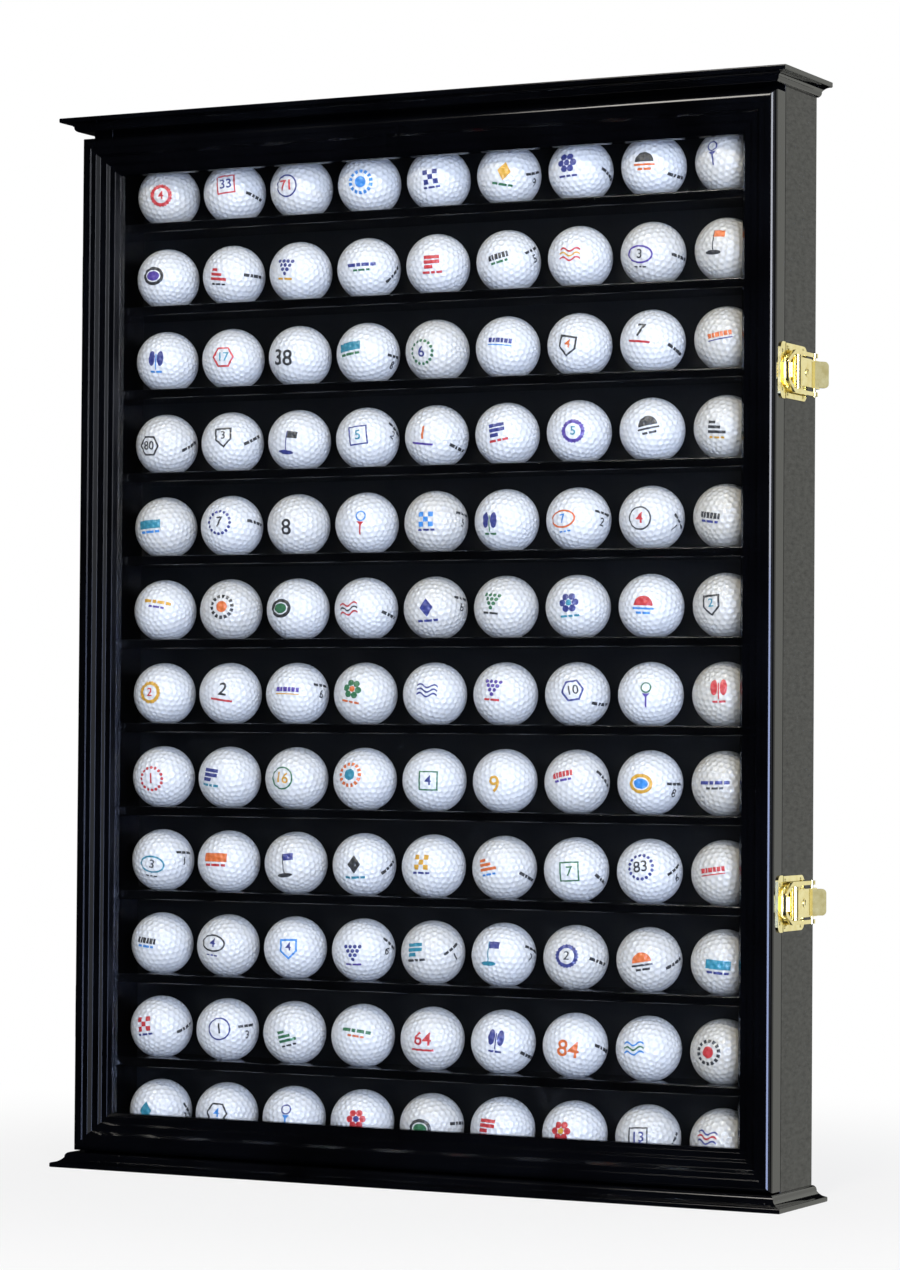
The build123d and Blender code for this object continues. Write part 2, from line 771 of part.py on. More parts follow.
with BuildPart() as lever_pins:
    for place in latch_places.values():
        pin_reach = ear_outer + pin_overhang
        with BuildSketch(across_plane(place, pin_reach)):
            with Locations((lever_pivot_back, lever_pivot_height)):
                Circle(lever_pin_radius)
        extrude(amount=2 * pin_reach)
save(lever_pins, "lever_pins")

with BuildPart() as latch_case_screws:
    with Locations(*[right_spot(joint_y + back, z, plate_thickness)
                     for z in latch_screw_heights for back in (latch_screw_front, latch_screw_back)]):
        add(wood_screw.part)
save(latch_case_screws, "latch_case_screws")

with BuildPart() as latch_door_screws:
    with Locations(*[right_spot(joint_y + strike_screw_back, z, plate_thickness)
                     for z in strike_screw_heights]):
        add(wood_screw.part)
save(latch_door_screws, "latch_door_screws")

# ---------------------------------------------------------------- wall hangers
with BuildPart() as wall_hangers:
    with BuildSketch(Plane.XZ.offset(-back_y + hanger_sink)):
        with Locations((-hanger_x, hanger_z), (hanger_x, hanger_z)):
            Rectangle(hanger_width, hanger_length)
        entry_z = hanger_z - hanger_slot_rise / 2
        slot_z = hanger_z + hanger_slot_rise / 2
        with Locations((-hanger_x, entry_z), (hanger_x, entry_z)):
            Circle(hanger_entry_radius, mode=Mode.SUBTRACT)
        with Locations((-hanger_x, hanger_z), (hanger_x, hanger_z)):
            Rectangle(2 * hanger_slot_radius, hanger_slot_rise, mode=Mode.SUBTRACT)
        with Locations((-hanger_x, slot_z), (hanger_x, slot_z)):
            Circle(hanger_slot_radius, mode=Mode.SUBTRACT)
        with Locations(*[(sign * hanger_x, z) for sign in (-1, 1) for z in hanger_screw_heights]):
            Circle(pilot_radius, mode=Mode.SUBTRACT)
    extrude(amount=hanger_thickness)
save(wall_hangers, "wall_hangers")

with BuildPart() as hanger_screws:
    with Locations(*[back_spot(sign * hanger_x, z, hanger_sink)
                     for sign in (-1, 1) for z in hanger_screw_heights]):
        add(wood_screw.part)
save(hanger_screws, "hanger_screws")
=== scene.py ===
import math
import random

import bmesh
import bpy
import numpy as np
from mathutils import Matrix, Vector, kdtree


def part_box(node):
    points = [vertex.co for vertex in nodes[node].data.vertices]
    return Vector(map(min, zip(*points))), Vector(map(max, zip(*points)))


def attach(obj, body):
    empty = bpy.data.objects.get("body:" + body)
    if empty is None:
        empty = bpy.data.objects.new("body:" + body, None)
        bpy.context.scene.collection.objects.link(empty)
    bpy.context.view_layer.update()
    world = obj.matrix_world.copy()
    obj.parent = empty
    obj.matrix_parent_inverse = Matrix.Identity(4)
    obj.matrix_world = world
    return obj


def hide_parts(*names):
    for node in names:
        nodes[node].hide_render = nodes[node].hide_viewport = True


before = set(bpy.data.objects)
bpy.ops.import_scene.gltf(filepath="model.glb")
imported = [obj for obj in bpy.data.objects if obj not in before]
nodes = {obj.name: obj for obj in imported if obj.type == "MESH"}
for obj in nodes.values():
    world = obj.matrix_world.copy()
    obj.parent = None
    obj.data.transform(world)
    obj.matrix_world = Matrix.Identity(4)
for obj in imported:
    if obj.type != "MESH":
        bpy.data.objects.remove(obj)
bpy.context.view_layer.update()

mm = 0.001
print("frame loaded,", len(nodes), "nodes")


# sRGB hex to the linear colour that the shaders take
def linear(code):
    channels = [int(code[i:i + 2], 16) / 255 for i in (0, 2, 4)]
    bent = [c / 12.92 if c <= 0.04045 else ((c + 0.055) / 1.055) ** 2.4 for c in channels]
    return (*bent, 1.0)


# adds a node with its settings and links: each goes to the input of that name or number, or else to the
# node itself, and where it is another node, or an output of one, it is linked
def addNode(tree, kind, settings=None):
    node = tree.nodes.new(kind)
    for key, value in (settings or {}).items():
        if isinstance(value, bpy.types.Node):
            value = value.outputs[0]
        if isinstance(value, bpy.types.NodeSocket):
            tree.links.new(value, node.inputs[key])
        elif isinstance(key, int) or key in node.inputs:
            node.inputs[key].default_value = value
        else:
            setattr(node, key, value)
    return node


def newMaterial(name, settings):
    material = bpy.data.materials.new(name)
    material.use_nodes = True
    tree = material.node_tree
    shader = tree.nodes["Principled BSDF"]
    for key, value in settings.items():
        shader.inputs[key].default_value = value
    return material, tree, shader


# most of Blender's noise lies in this range, so a span is spread over it
noiseRange = (0.3, 0.7)


# an irregular pattern with patches about sizeMm across; stretch draws it out along a board, and a span
# makes it run from one value to another
def pattern(tree, sizeMm, span=None, stretch=(1, 1, 1), detail=2.0, rough=0.5):
    place = addNode(tree, "ShaderNodeTexCoord").outputs["Object"]
    drawn = addNode(tree, "ShaderNodeMapping", {"Scale": stretch, "Vector": place})
    patches = addNode(tree, "ShaderNodeTexNoise", {
        "Scale": 1 / (sizeMm * mm), "Detail": detail, "Roughness": rough, "Vector": drawn,
    })
    if span is None:
        return patches.outputs[0]
    return addNode(tree, "ShaderNodeMapRange", {
        "From Min": noiseRange[0], "From Max": noiseRange[1], "To Min": span[0], "To Max": span[1],
        "Value": patches.outputs[0],
    }).outputs[0]


# colours a shader between two hex colours, by a share from 0 to 1
def colourBetween(tree, shader, share, first, second):
    mix = {"data_type": "RGBA", 0: share, 6: linear(first), 7: linear(second)}
    tree.links.new(addNode(tree, "ShaderNodeMix", mix).outputs[2], shader.inputs["Base Color"])


# 1 where the eye looks at a surface or straight through the clear panel, and 0 in mirrors and for lamps
def seenByEye(tree, path):
    unmirrored = addNode(tree, "ShaderNodeMath", {
        "operation": "SUBTRACT", "use_clamp": True, 0: 1.0, 1: path.outputs["Glossy Depth"],
    })
    through = addNode(tree, "ShaderNodeMath", {
        "operation": "MULTIPLY", 0: path.outputs["Is Transmission Ray"], 1: unmirrored,
    })
    return addNode(tree, "ShaderNodeMath", {
        "operation": "MAXIMUM", 0: path.outputs["Is Camera Ray"], 1: through,
    })


# a direction from degrees round from straight ahead and degrees up
def towards(turn, rise):
    turned, raised = math.radians(turn), math.radians(rise)
    level = math.cos(raised)
    return Vector((math.sin(turned) * level, -math.cos(turned) * level, math.sin(raised)))


def paint(names, material):
    for name in names:
        nodes[name].material_slots[0].material = material


def addObject(name, content):
    added = bpy.data.objects.new(name, content)
    bpy.context.scene.collection.objects.link(added)
    return added


# Sprayed and rubbed catalysed lacquer over fibreboard: a deep black with a wet gloss, a faint
# orange peel 2.4 mm across, and the rubbing's fine streaks along each board.
lacquer = {
    "colour": "020203", "dust": "06070a", "ior": 1.46, "roughLow": 0.06, "roughHigh": 0.13,
    "peelMm": 2.4, "peelDepthMm": 0.004, "streakMm": 0.8, "streakLong": 0.03, "streakDepthMm": 0.0012,
    "cloudMm": 60.0,
}
# the sides were rolled, so their peel is coarser and their gloss uneven in short level patches
rolled = {"peel": 4.0, "stretch": (1, 0.35, 1), "patchMm": 2.6, "glossLow": 0.14, "glossHigh": 0.35}


def blackLacquer(name, along, uneven=None):
    stretch = [1.0, 1.0, 1.0]
    stretch["XYZ".index(along)] = lacquer["streakLong"]
    material, tree, shader = newMaterial(name, {"IOR": lacquer["ior"]})
    streaks = pattern(tree, lacquer["streakMm"], stretch=stretch, detail=3.0, rough=0.6)
    ripple = pattern(tree, lacquer["peelMm"], detail=1.0)
    clouds = pattern(tree, lacquer["cloudMm"], (0, 1), detail=3.0)
    colourBetween(tree, shader, clouds, lacquer["colour"], lacquer["dust"])
    rough = addNode(tree, "ShaderNodeMapRange", {
        "To Min": lacquer["roughLow"], "To Max": lacquer["roughHigh"], "Value": clouds,
    })
    tree.links.new(rough.outputs[0], shader.inputs["Roughness"])
    peelDepth = lacquer["peelDepthMm"] * mm
    if uneven:
        glosses = (uneven["glossLow"], uneven["glossHigh"])
        gloss = pattern(tree, uneven["patchMm"], glosses, uneven["stretch"], detail=3.0, rough=0.65)
        tree.links.new(gloss, shader.inputs["Specular IOR Level"])
        peelDepth *= uneven["peel"]
    rubbed = addNode(tree, "ShaderNodeBump", {"Distance": lacquer["streakDepthMm"] * mm, "Height": streaks})
    peeled = addNode(tree, "ShaderNodeBump", {"Distance": peelDepth, "Height": ripple, "Normal": rubbed})
    tree.links.new(peeled.outputs[0], shader.inputs["Normal"])
    return material


levelBoards = [
    "top_panel", "bottom_panel", "crown_board", "base_board", "door_top_rail", "door_bottom_rail",
]
shelves = [name for name in nodes if name.startswith("shelf_")]
paint(["door_left_stile", "door_right_stile"], blackLacquer("lacquerSprayedUpright", "Z"))
paint(levelBoards + shelves, blackLacquer("lacquerSprayedAcross", "X"))
paint(["left_side", "right_side"], blackLacquer("lacquerRolledSides", "Y", rolled))

# Hardboard, rolled black: its pressed face is satin, with a fine even tooth about 0.6 mm across.
backing = {
    "colour": "020304", "pale": "05080b", "ior": 1.5, "rough": 0.42, "toothMm": 0.6, "toothDepthMm": 0.02,
    "cloudMm": 45.0,
}
backBoard, tree, shader = newMaterial("hardboardRolledBlack", {
    "Roughness": backing["rough"], "IOR": backing["ior"],
})
clouds = pattern(tree, backing["cloudMm"], (0, 1), detail=3.0)
colourBetween(tree, shader, clouds, backing["colour"], backing["pale"])
tooth = addNode(tree, "ShaderNodeBump", {
    "Distance": backing["toothDepthMm"] * mm, "Height": pattern(tree, backing["toothMm"]),
})
tree.links.new(tooth.outputs[0], shader.inputs["Normal"])
paint(["back_panel"], backBoard)
print("boards painted")

# Cast acrylic, polished faces: clear and nearly invisible, with a soft mirror at a low angle.
# Lamps go straight through it, so the balls are lit.
panel = {"tint": "fbfdfc", "ior": 1.49, "rough": 0.0}
clearPanel, tree, shader = newMaterial("acrylicCastClear", {
    "Base Color": linear(panel["tint"]), "Roughness": panel["rough"], "IOR": panel["ior"],
    "Transmission Weight": 1.0,
})
path = addNode(tree, "ShaderNodeLightPath")
lampRays = addNode(tree, "ShaderNodeMath", {
    "operation": "MAXIMUM", 0: path.outputs["Is Shadow Ray"], 1: path.outputs["Is Diffuse Ray"],
})
letThrough = addNode(tree, "ShaderNodeBsdfTransparent", {"Color": linear(panel["tint"])})
surface = addNode(tree, "ShaderNodeMixShader", {0: lampRays, 1: shader, 2: letThrough})
tree.links.new(surface.outputs[0], tree.nodes["Material Output"].inputs["Surface"])
paint(["door_panel"], clearPanel)
print("door panel glazed")


# Each metal is plated: clouds of slightly duller plate, and hair-fine scratches along one way.
def platedMetal(name, look):
    material, tree, shader = newMaterial(name, {"Metallic": 1.0})
    clouds = pattern(tree, look["cloudMm"], (0, 1), detail=3.0)
    scratches = pattern(tree, look["scratchMm"], stretch=look["brush"], detail=3.0, rough=0.6)
    colourBetween(tree, shader, clouds, look["bright"], look["dull"])
    rough = addNode(tree, "ShaderNodeMapRange", {
        "To Min": look["roughLow"], "To Max": look["roughHigh"], "Value": clouds,
    })
    tree.links.new(rough.outputs[0], shader.inputs["Roughness"])
    scratched = addNode(tree, "ShaderNodeBump", {
        "Distance": look["scratchDepthMm"] * mm, "Height": scratches,
    })
    tree.links.new(scratched.outputs[0], shader.inputs["Normal"])
    return material


# Brass plate on stamped steel, buffed and clear coated: a pale warm mirror.
latchBrass = platedMetal("brassPlatedPolished", {
    "bright": "f8edb4", "dull": "eedd98", "roughLow": 0.1, "roughHigh": 0.2, "cloudMm": 6.0,
    "scratchMm": 0.25, "scratchDepthMm": 0.003, "brush": (1, 0.06, 1),
})
# Old brass plate on the hinges, left to tarnish: browner and half matt.
hingeBrass = platedMetal("brassPlatedTarnished", {
    "bright": "8f7a42", "dull": "5a4b28", "roughLow": 0.22, "roughHigh": 0.42, "cloudMm": 4.0,
    "scratchMm": 0.3, "scratchDepthMm": 0.004, "brush": (1, 1, 0.08),
})
# Barrel-plated zinc on the hangers: a cool grey, satin.
zincPlate = platedMetal("zincBarrelPlated", {
    "bright": "b9bec4", "dull": "9aa0a8", "roughLow": 0.25, "roughHigh": 0.4, "cloudMm": 3.0,
    "scratchMm": 0.3, "scratchDepthMm": 0.004, "brush": (1, 1, 0.2),
})
latchWords = ("latch", "lever", "bail", "lock")
for name in nodes:
    if "hanger" in name:
        paint([name], zincPlate)
    elif "hinge" in name:
        paint([name], hingeBrass)
    elif any(word in name for word in latchWords):
        paint([name], latchBrass)
print("metals plated")

# A geodesic pattern gives 362 dimples, each a shallow cup with a ring of points between bottom and rim.
ball = {
    "diameterMm": 42.67, "columnPitchMm": 52.35, "columns": 9, "rows": 12, "frequency": 6,
    "dimpleShare": 0.49, "depthMm": 0.7, "ringShare": 0.58, "ringPoints": 6, "rimPoints": 10, "seed": 14,
}
ballRadius = ball["diameterMm"] / 2


def dimpleCentres(frequency):
    seedMesh = bmesh.new()
    bmesh.ops.create_icosphere(seedMesh, subdivisions=1, radius=1)
    found = {}
    for face in seedMesh.faces:
        a, b, c = (v.co.normalized() for v in face.verts)
        for i in range(frequency + 1):
            for j in range(frequency + 1 - i):
                spot = (a * i + b * j + c * (frequency - i - j)).normalized()
                found[tuple(round(s, 4) for s in spot)] = spot
    seedMesh.free()
    return list(found.values())


centres = dimpleCentres(ball["frequency"])
dimpleTree = kdtree.KDTree(len(centres))
for index, centre in enumerate(centres):
    dimpleTree.insert(centre, index)
dimpleTree.balance()
# the nearest centre to a dimple is its own and the second is its neighbour's, whose distance sets its rim
rimAngles = [ball["dimpleShare"] * dimpleTree.find_n(centre, 2)[1][2] for centre in centres]


# depth of the cover under the sphere, in mm, in a direction from the ball's middle
def coverDepth(direction):
    centre, index, distance = dimpleTree.find(direction)
    inside = 1 - (distance / rimAngles[index]) ** 2
    return ball["depthMm"] * max(0.0, inside)


def dimpledBall():
    shell = bmesh.new()
    for centre, rim in zip(centres, rimAngles):
        side = centre.orthogonal().normalized()
        other = centre.cross(side)
        shell.verts.new(centre)
        for share, count in ((ball["ringShare"], ball["ringPoints"]), (1.0, ball["rimPoints"])):
            for step in range(count):
                turn = 2 * math.pi * (step + 0.5 * share) / count
                offset = (side * math.cos(turn) + other * math.sin(turn)) * math.tan(rim * share)
                shell.verts.new((centre + offset).normalized())
    bmesh.ops.convex_hull(shell, input=shell.verts[:])
    shell.verts.ensure_lookup_table()
    loose = [v for v in shell.verts if not v.link_faces]
    bmesh.ops.delete(shell, geom=loose, context="VERTS")
    bmesh.ops.recalc_face_normals(shell, faces=shell.faces[:])
    shell.verts.index_update()
    points = np.array([v.co * (ballRadius - coverDepth(v.co.normalized())) for v in shell.verts])
    triangles = np.array([[v.index for v in face.verts] for face in shell.faces])
    shell.free()
    return points, triangles


ballPoints, ballTriangles = dimpledBall()
print("ball made,", len(ballTriangles), "faces")

# Moulded ionomer cover with two coats of clear: white, with a wide soft gloss.
# coverTone runs from a new ball at 0 to a greyer, warmer tone at 1: on most balls a little of it is random
# yellowing with age, and on the last column it is painted shade, standing in for the shade near the door's
# right stile.
cover = {
    "new": "eeeeef", "oldAndShaded": "cfc8ba", "ior": 1.5, "rough": 0.36, "coat": 0.3, "coatRough": 0.2,
    "mottleMm": 5.0, "mottle": 0.1,
}
ballCover, tree, shader = newMaterial("ionomerMouldedWhite", {
    "Roughness": cover["rough"], "IOR": cover["ior"], "Coat Weight": cover["coat"],
    "Coat Roughness": cover["coatRough"],
})
tone = addNode(tree, "ShaderNodeAttribute", {"attribute_name": "coverTone"}).outputs["Fac"]
mottle = pattern(tree, cover["mottleMm"], (-cover["mottle"], cover["mottle"]))
agedAndShaded = addNode(tree, "ShaderNodeMath", {"operation": "ADD", "use_clamp": True, 0: tone, 1: mottle})
colourBetween(tree, shader, agedAndShaded, cover["new"], cover["oldAndShaded"])

# Pad-printed inks under the clear coat: flat strong colours with a faint unevenness. Each has its
# colour and how often it is drawn, against the others.
inks = {
    "navy": ("14247c", 24), "red": ("c81820", 20), "black": ("101114", 24), "green": ("0f6a38", 9),
    "teal": ("1088a0", 8), "orange": ("e06a14", 8), "purple": ("4a2c98", 5), "gold": ("dca414", 6),
    "sky": ("2288d8", 8),
}
inkFilm = {"ior": 1.5, "rough": 0.35, "wearMm": 0.8, "wear": 0.1}
inkMaterials = []
for name, (colour, share) in inks.items():
    ink, tree, shader = newMaterial("inkPadPrinted" + name.capitalize(), {
        "Roughness": inkFilm["rough"], "IOR": inkFilm["ior"],
    })
    worn = pattern(tree, inkFilm["wearMm"], (0.0, inkFilm["wear"]), detail=3.0)
    colourBetween(tree, shader, worn, colour, cover["new"])
    inkMaterials.append(ink)


# marks printed on the balls, drawn flat in mm and then laid over the dimples
def bar(width, height, x=0.0, y=0.0):
    w, h = width / 2, height / 2
    return [[(x - w, y - h), (x + w, y - h), (x + w, y + h), (x - w, y + h)]]


def around(sides, across, tall, x=0.0, y=0.0, first=0.0):
    turns = [2 * math.pi * (k / sides + first) for k in range(sides)]
    return [(x + across * math.cos(t), y + tall * math.sin(t)) for t in turns]


def oval(across, tall, x=0.0, y=0.0, sides=24):
    return [around(sides, across, tall, x, y)]


# four-sided pieces between two closed lines of as many points
def band(outer, inner):
    pairs = [(k, k - len(outer) + 1) for k in range(len(outer))]
    return [[outer[k], outer[after], inner[after], inner[k]] for k, after in pairs]


def ring(across, width, tall=None, y=0.0, sides=40, first=0.0):
    tall = tall or across
    inner = around(sides, across - width, tall - width, 0, y, first)
    return band(around(sides, across, tall, 0, y, first), inner)


def outline(corners, inner):
    return band(corners, [(x * inner, y * inner) for x, y in corners])


def toothedRing(radius, hole, teeth=22, notch=0.9):
    tips = around(teeth, radius, radius)
    roots = around(teeth, radius * notch, radius * notch, first=0.5 / teeth)
    return band([point for pair in zip(tips, roots) for point in pair], around(2 * teeth, hole, hole))


# shapes of one kind repeated round a circle
def circled(count, radius, shape, y=0.0):
    return [part for x, up in around(count, radius, radius, 0, y) for part in shape(x, up)]


numeral = {"sizePerHeight": 1.4, "boldPerHeight": 0.018}


def digits(number, height, y=0.0):
    curve = bpy.data.curves.new("numeral", "FONT")
    curve.body, curve.size = str(number), height * numeral["sizePerHeight"]
    curve.offset = height * numeral["boldPerHeight"]
    curve.align_x, curve.align_y = "CENTER", "CENTER"
    holder = bpy.data.objects.new("numeral", curve)
    flat = bpy.data.meshes.new_from_object(holder)
    spots = [(v.co.x, y + v.co.y) for v in flat.vertices]
    shapes = [[spots[i] for i in polygon.vertices] for polygon in flat.polygons]
    bpy.data.meshes.remove(flat)
    bpy.data.objects.remove(holder)
    bpy.data.curves.remove(curve)
    return shapes


# a row of short dashes, the size of small print
def dashes(widths, height, y=0.0, gap=0.8):
    shapes, left = [], -(sum(widths) + gap * (len(widths) - 1)) / 2
    for width in widths:
        shapes += bar(width, height, left + width / 2, y)
        left += width + gap
    return shapes


# short dashes set round a circle, like small print round a badge
def dashRing(radius, height, count, filled=0.62):
    def spot(away, turn):
        return around(1, away, away, first=turn)[0]

    near, far, long = radius - height / 2, radius + height / 2, filled / count
    starts = [k / count for k in range(count)]
    return [[spot(near, t), spot(near, t + long), spot(far, t + long), spot(far, t)] for t in starts]


def wave(width, height, y, thick=1.0, steps=18, swells=1.5):
    xs = [width * (k / steps - 0.5) for k in range(steps + 1)]
    ys = [y + height * math.sin(2 * math.pi * swells * k / steps) for k in range(steps + 1)]
    return [[(xs[k], ys[k]), (xs[k + 1], ys[k + 1]), (xs[k + 1], ys[k + 1] + thick), (xs[k], ys[k] + thick)]
            for k in range(steps)]


boldWord = (1.7, 1.2, 1.9, 1.5, 1.7, 1.3)
wideWord = (2.2, 1.4, 2.4, 1.6, 2.0, 1.8)
smallWords = (2.6, 4.0, 1.8)
shieldCorners = ((-5, 5.4), (-5, -1.6), (0, -6.4), (5, -1.6), (5, 5.4))
teePeg = [(-2.2, 1.2), (2.2, 1.2), (0.5, -0.6), (0.4, -6.4), (-0.4, -6.4), (-0.5, -0.6)]
# each mark gives its shapes in the main ink, then those in a second ink
mainMarks = {
    "numberBar": lambda n: (digits(n, 7.4, y=2.2), bar(13, 1.2, y=-3.8)),
    "boldNumber": lambda n: (digits(n, 9), []),
    "boldWord": lambda n: (dashes(boldWord, 3.2, 1.4, 0.5), dashes(smallWords, 1.3, -1.9)),
    "wideWord": lambda n: (dashes(wideWord, 2.6, 0, 0.45), bar(14, 0.6, y=-2.6)),
    "framedWord": lambda n: (bar(14, 5, y=1.6), dashes((3.2, 5, 2.6), 1.4, -2.8)),
    "ringNumber": lambda n: (ring(6.6, 0.9), digits(n, 6)),
    "toothedNumber": lambda n: (toothedRing(6.8, 4.4), digits(n, 4.8)),
    "ovalNumber": lambda n: (ring(7.6, 1.0, 5.0), digits(n, 5) + dashes((2, 1.4, 2), 0.9, -7)),
    "diamond": lambda n: (oval(3.8, 5.2, sides=4, y=1.5), dashes((3.2, 4.6, 2.6), 1.4, -6)),
    "framedNumber": lambda n: (ring(7.8, 1.2, sides=4, first=0.125), digits(n, 5.4)),
    "pins": lambda n: ([part for row in range(4) for k in range(row + 1)
                        for part in oval(1.1, 1.1, 2.8 * (k - row / 2), 2.4 * row - 3, 12)],
                       dashes((3.4, 5), 1.2, -6)),
    "bars": lambda n: (bar(9, 2.0, y=4.6) + bar(9, 2.0, y=1.9) + bar(5, 2.0, -2, -0.8),
                       dashes((4.2, 2.2, 3.2), 1.4, -4)),
    "dotRing": lambda n: (circled(16, 6.6, lambda x, y: oval(0.95, 0.95, x, y, 10)), digits(n, 6)),
    "roundText": lambda n: (dashRing(6.2, 2.0, 14), oval(3.2, 3.2)),
    "badge": lambda n: (ring(6.6, 1.9, 5.4), oval(4.0, 2.8)),
    "shield": lambda n: (outline(shieldCorners, 0.78), digits(n, 4.6, y=0.8)),
    "halves": lambda n: ([[p for p in around(28, 5.4, 5.4) if p[1] >= -0.01]],
                         bar(12, 1.1, y=-1.6) + dashes((3, 4.2), 1.3, -4)),
    "flag": lambda n: (bar(6.0, 4.0, 3.2, 5), bar(0.6, 12, 0, 1) + oval(4.6, 1.3, 0, -5.4)),
    "tee": lambda n: (ring(3.0, 0.8, y=4.4, sides=24), [teePeg]),
    "waves": lambda n: (wave(12, 1.0, 2.4) + wave(12, 1.0, -2.6), wave(12, 1.0, -0.1)),
    "checker": lambda n: ([part for x in (-1, 0, 1) for y in (-1, 0, 1) if (x + y) % 2 == 0
                           for part in bar(2.8, 2.8, 2.8 * x, 2.8 * y)], dashes((2.4, 3.6, 2.4), 1.2, -6)),
    "hexagon": lambda n: (ring(6.6, 1.2, sides=6), digits(n, 5)),
    "steps": lambda n: (bar(4, 1.6, -3, 3.2) + bar(7, 1.6, -1.5, 0.6) + bar(10, 1.6, 0, -2),
                        dashes((2, 3, 2), 1.1, -5)),
    "leaves": lambda n: (oval(2.0, 4.4, -2.6, 1.4, 18) + oval(2.0, 4.4, 2.6, 1.4, 18),
                         bar(0.7, 9, 0, -0.6) + dashes((3, 3.6), 1.2, -6.4)),
    "petals": lambda n: (circled(6, 3.7, lambda x, y: oval(1.9, 1.9, x, y, 14), 1),
                         oval(1.7, 1.7, 0, 1) + dashes((4, 2.4, 3), 1.2, -6.4)),
    "smallText": lambda n: (dashes((5, 2.2, 4.2, 3), 1.9, 1.6), dashes((2.4, 3.6, 2), 1.2, -1.4)),
}
sideMarks = {
    "smallNumber": lambda n: (digits(n, 4.6) + dashes((3.2, 2.4, 4), 1.5, 5.2), []),
    "smallLine": lambda n: (dashes((3.6, 1.6, 3, 2.4), 1.8), []),
}
# gridMm is how finely a mark is cut to follow the dimples, and bridgeMm how wide a dip it bridges.
# oneDigit and secondMark are chances. The turns and rises are degrees round from straight ahead and
# up, and the rolls are in radians.
printing = {
    "seed": 31, "scale": 1.2, "gridMm": 0.75, "liftMm": 0.05, "bridgeMm": 0.5,
    "oneDigit": 0.7, "frontTurn": 13.0, "frontAside": 3, "frontRise": 11.0, "frontLow": -0.6,
    "frontRoll": 0.1, "secondMark": 0.5, "sideTurn": (68, 84), "sideRise": (-25, 8), "sideRoll": 0.5,
}


# one ink's shapes as small triangles, fine enough to follow the dimples
def flatPart(shapes):
    sheet, scale = bmesh.new(), printing["scale"]
    for shape in shapes:
        sheet.faces.new([sheet.verts.new((x * scale, y * scale, 0)) for x, y in shape])
    bmesh.ops.remove_doubles(sheet, verts=sheet.verts[:], dist=1e-4)
    reach = max(max(abs(v.co.x), abs(v.co.y)) for v in sheet.verts)
    steps = int(reach / printing["gridMm"]) + 1
    for axis in ((1, 0, 0), (0, 1, 0)):
        for step in range(-steps, steps + 1):
            geometry = sheet.verts[:] + sheet.edges[:] + sheet.faces[:]
            cut = Vector(axis) * (step + 0.5) * printing["gridMm"]
            bmesh.ops.bisect_plane(sheet, geom=geometry, plane_co=cut, plane_no=axis, dist=1e-5)
    bmesh.ops.triangulate(sheet, faces=sheet.faces[:])
    sheet.verts.index_update()
    part = ([v.co.copy() for v in sheet.verts], [[v.index for v in f.verts] for f in sheet.faces])
    sheet.free()
    return part


flatMarks = {}


def flatMark(table, kind, number):
    key = (kind, number)
    if key not in flatMarks:
        flatMarks[key] = [flatPart(shapes) for shapes in table[kind](number) if shapes]
    return flatMarks[key]


# a print's points lie as high as the highest cover near them, so the cover never pokes through
printSpots = (
    (0, 0), (1, 0), (-1, 0), (0, 1), (0, -1), (0.7, 0.7), (0.7, -0.7), (-0.7, 0.7), (-0.7, -0.7),
)
printPoints, printFaces, printInks = [], [], []
inkOrder = list(inks)
inkShares = [share for colour, share in inks.values()]


# lays a mark on a ball, facing turn degrees round from straight ahead and rise degrees up
def layMark(middle, spin, turn, rise, roll, mark, markInks):
    front = towards(turn, rise)
    across = Vector((math.cos(math.radians(turn)), math.sin(math.radians(turn)), 0))
    up = front.cross(across)
    beside = [(across * i + up * j) * printing["bridgeMm"] / ballRadius for i, j in printSpots]
    toBall = spin.transposed()
    for (flatPoints, faces), ink in zip(mark, markInks):
        first = len(printPoints)
        for point in flatPoints:
            x = point.x * math.cos(roll) - point.y * math.sin(roll)
            y = point.x * math.sin(roll) + point.y * math.cos(roll)
            away = math.hypot(x, y)
            direction = front.copy()
            if away > 1e-6:
                angle = away / ballRadius
                direction = front * math.cos(angle) + (across * x + up * y) / away * math.sin(angle)
            depth = min(coverDepth(toBall @ (direction + step).normalized()) for step in beside)
            printPoints.append(middle + direction * (ballRadius - depth + printing["liftMm"]) * mm)
        printFaces.extend([[first + i for i in face] for face in faces])
        printInks.extend([inkOrder.index(ink)] * len(faces))
